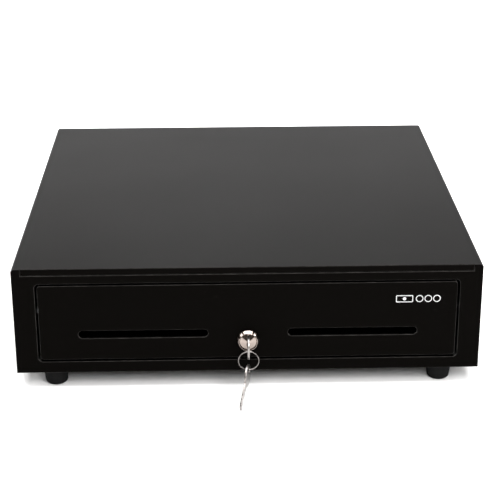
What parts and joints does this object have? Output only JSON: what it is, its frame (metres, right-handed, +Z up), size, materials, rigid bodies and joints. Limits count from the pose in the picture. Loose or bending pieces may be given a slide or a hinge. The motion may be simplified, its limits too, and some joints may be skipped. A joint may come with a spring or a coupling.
{
  "type": "cash drawer",
  "caption": "Black steel cash drawer on roller slides with media slots, cam lock with keys on a ring, till tray with coin cups and bill clips, and rubber feet.",
  "frame": {"origin": "centre of the case's footprint at counter level, midway between the four feet", "axes": "+Z up, -Y towards the user (the drawer opens towards -Y), +X to the user's right"},
  "size_m": [0.41, 0.4662, 0.114],
  "materials": {
    "black_steel": "black textured powder coat on sheet steel",
    "zinc_steel": "bright zinc plate",
    "chrome": "polished nickel-chrome plate",
    "nickel": "nickel plate, tumbled",
    "rubber": "moulded black rubber",
    "nylon": "natural nylon",
    "abs_black": "moulded black ABS, fine grain",
    "jack_plastic": "black moulded jack plastic",
    "pcb_green": "solder-masked circuit board",
    "copper": "enamelled copper winding wire",
    "gold": "gold-flashed spring contacts",
    "wire_black": "sleeved wire loom"
  },
  "bodies": {
    "case": {"base_pan": "black_steel", "case_rail_left": "black_steel", "case_rail_right": "black_steel", "case_roller_axles": "zinc_steel", "cover_screws": "black_steel", "ejector_housing": "zinc_steel", "ejector_spring": "zinc_steel", "foot_front_left": "rubber", "foot_front_right": "rubber", "foot_rear_left": "rubber", "foot_rear_right": "rubber", "foot_screws": "zinc_steel", "front_frame": "black_steel", "harness": "wire_black", "jack_board": "pcb_green", "jack_contacts": "gold", "jack_housing": "jack_plastic", "latch_pivot_pin": "zinc_steel", "latch_spring": "zinc_steel", "mech_screws": "zinc_steel", "mech_table": "zinc_steel", "rail_brackets_left": "black_steel", "rail_brackets_right": "black_steel", "rail_rivets": "zinc_steel", "rear_panel": "black_steel", "solenoid_coil": "copper", "solenoid_frame": "zinc_steel", "switch_body": "abs_black", "top_cover": "black_steel"},
    "drawer": {"drawer_pan": "black_steel", "drawer_front": "black_steel", "front_bolts": "zinc_steel", "drawer_rail_left": "black_steel", "drawer_rail_right": "black_steel", "drawer_roller_axles": "zinc_steel", "striker": "zinc_steel", "rod_cover": "zinc_steel", "till_ledges": "zinc_steel", "till_tray": "abs_black", "coin_tray": "abs_black", "clip_axle": "zinc_steel", "lock_housing": "chrome", "lock_nut": "zinc_steel"},
    "lock_core": {"lock_plug": "chrome", "lock_rod": "zinc_steel", "key": "nickel"},
    "key_ring_body": {"key_ring": "nickel"},
    "spare_key_body": {"spare_key": "nickel"},
    "latch": {"latch_hook": "zinc_steel"},
    "plunger": {"solenoid_plunger": "zinc_steel"},
    "switch_arm": {"switch_lever": "zinc_steel"},
    "ejector": {"ejector_plunger": "nylon"},
    "case_wheel_left": {"case_roller_left": "nylon"},
    "case_wheel_right": {"case_roller_right": "nylon"},
    "drawer_wheel_left": {"drawer_roller_left": "nylon"},
    "drawer_wheel_right": {"drawer_roller_right": "nylon"},
    "clip_1": {"bill_clip_1": "zinc_steel"},
    "clip_2": {"bill_clip_2": "zinc_steel"},
    "clip_3": {"bill_clip_3": "zinc_steel"},
    "clip_4": {"bill_clip_4": "zinc_steel"}
  },
  "joints": [
    {"name": "drawer_slide", "type": "slide", "parent": "case", "child": "drawer", "axis": [0, -1, 0], "range_m": [0, 0.3]},
    {"name": "lock_turn", "type": "hinge", "parent": "drawer", "child": "lock_core", "pos_m": [0, -0.2075, 0.0445], "axis": [0, 1, 0], "range_deg": [-90, 45]},
    {"name": "key_ring_swing", "type": "hinge", "parent": "lock_core", "child": "key_ring_body", "pos_m": [0, -0.2273, 0.0445], "axis": [-1, 0, 0], "range_deg": [0, 45]},
    {"name": "spare_key_swing", "type": "hinge", "parent": "key_ring_body", "child": "spare_key_body", "pos_m": [-0.00035, -0.22777, 0.02417], "axis": [-0.9737, 0.2264, 0.0244], "range_deg": [0, 35]},
    {"name": "latch_pivot", "type": "hinge", "parent": "case", "child": "latch", "pos_m": [0.04, 0.186, 0.05], "axis": [0, 0, 1], "range_deg": [-14, 0], "deforming": ["latch_spring"]},
    {"name": "plunger_slide", "type": "slide", "parent": "case", "child": "plunger", "axis": [0, 1, 0], "range_m": [-0.0075, 0]},
    {"name": "switch_lever_turn", "type": "hinge", "parent": "case", "child": "switch_arm", "pos_m": [0.0098, 0.178, 0.05], "axis": [0, 0, 1], "range_deg": [-20.5, 0]},
    {"name": "ejector_push", "type": "slide", "parent": "case", "child": "ejector", "axis": [0, -1, 0], "range_m": [0, 0.03], "deforming": ["ejector_spring"]},
    {"name": "case_wheel_left_spin", "type": "hinge", "parent": "case", "child": "case_wheel_left", "pos_m": [-0.176, -0.19, 0.068], "axis": [1, 0, 0], "continuous": true},
    {"name": "case_wheel_right_spin", "type": "hinge", "parent": "case", "child": "case_wheel_right", "pos_m": [0.176, -0.19, 0.068], "axis": [1, 0, 0], "continuous": true},
    {"name": "drawer_wheel_left_spin", "type": "hinge", "parent": "drawer", "child": "drawer_wheel_left", "pos_m": [-0.176, 0.18, 0.0635], "axis": [1, 0, 0], "continuous": true},
    {"name": "drawer_wheel_right_spin", "type": "hinge", "parent": "drawer", "child": "drawer_wheel_right", "pos_m": [0.176, 0.18, 0.0635], "axis": [1, 0, 0], "continuous": true},
    {"name": "clip_1_lift", "type": "hinge", "parent": "drawer", "child": "clip_1", "pos_m": [-0.1215, 0.122, 0.088], "axis": [-1, 0, 0], "range_deg": [0, 28], "stiffness_Nm_per_rad": 0.03, "springref_deg": -22.92},
    {"name": "clip_2_lift", "type": "hinge", "parent": "drawer", "child": "clip_2", "pos_m": [-0.0405, 0.122, 0.088], "axis": [-1, 0, 0], "range_deg": [0, 28], "stiffness_Nm_per_rad": 0.03, "springref_deg": -22.92},
    {"name": "clip_3_lift", "type": "hinge", "parent": "drawer", "child": "clip_3", "pos_m": [0.0405, 0.122, 0.088], "axis": [-1, 0, 0], "range_deg": [0, 28], "stiffness_Nm_per_rad": 0.03, "springref_deg": -22.92},
    {"name": "clip_4_lift", "type": "hinge", "parent": "drawer", "child": "clip_4", "pos_m": [0.1215, 0.122, 0.088], "axis": [-1, 0, 0], "range_deg": [0, 28], "stiffness_Nm_per_rad": 0.03, "springref_deg": -22.92}
  ],
  "couplings": [
    {"joint": "plunger_slide", "follows": "latch_pivot", "m_per_rad": 0.03},
    {"joint": "switch_lever_turn", "follows": "latch_pivot", "ratio": 1.43},
    {"joint": "ejector_push", "follows": "drawer_slide", "ratio": 0.1},
    {"joint": "case_wheel_left_spin", "follows": "drawer_slide", "rad_per_m": 125},
    {"joint": "case_wheel_right_spin", "follows": "drawer_slide", "rad_per_m": 125},
    {"joint": "drawer_wheel_left_spin", "follows": "drawer_slide", "rad_per_m": 125},
    {"joint": "drawer_wheel_right_spin", "follows": "drawer_slide", "rad_per_m": 125}
  ]
}
